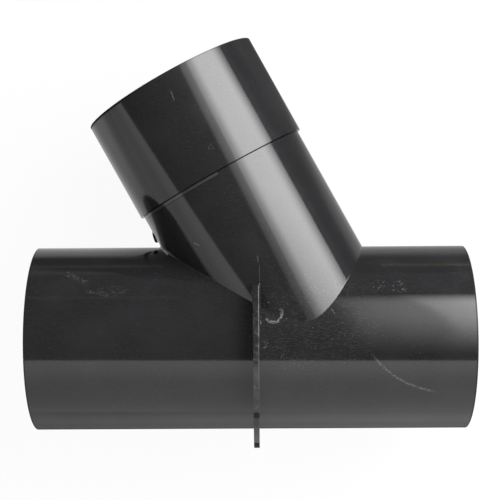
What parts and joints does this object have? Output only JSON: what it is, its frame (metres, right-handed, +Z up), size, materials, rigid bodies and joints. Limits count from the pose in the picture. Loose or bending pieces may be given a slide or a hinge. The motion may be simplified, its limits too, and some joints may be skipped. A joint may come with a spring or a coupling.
{
  "type": "lateral wye fitting",
  "caption": "Black plastic lateral wye for drain pipe: a straight run with a branch at 61 degrees, a plain socket at every mouth and a thin rib round the run.",
  "frame": {"origin": "centre of the run's outlet mouth", "axes": "+X out of the outlet mouth along the run's centreline; +Y is the side that the branch leans to, with both centrelines in the XY plane; +Z up, out of that plane, as the fitting lies on its side"},
  "size_m": [0.392, 0.3769, 0.203],
  "materials": {
    "black_plastic": "glossy moulded black plastic with fine scuffs"
  },
  "bodies": {
    "root": {"wye_body": "black_plastic"}
  },
  "joints": []
}
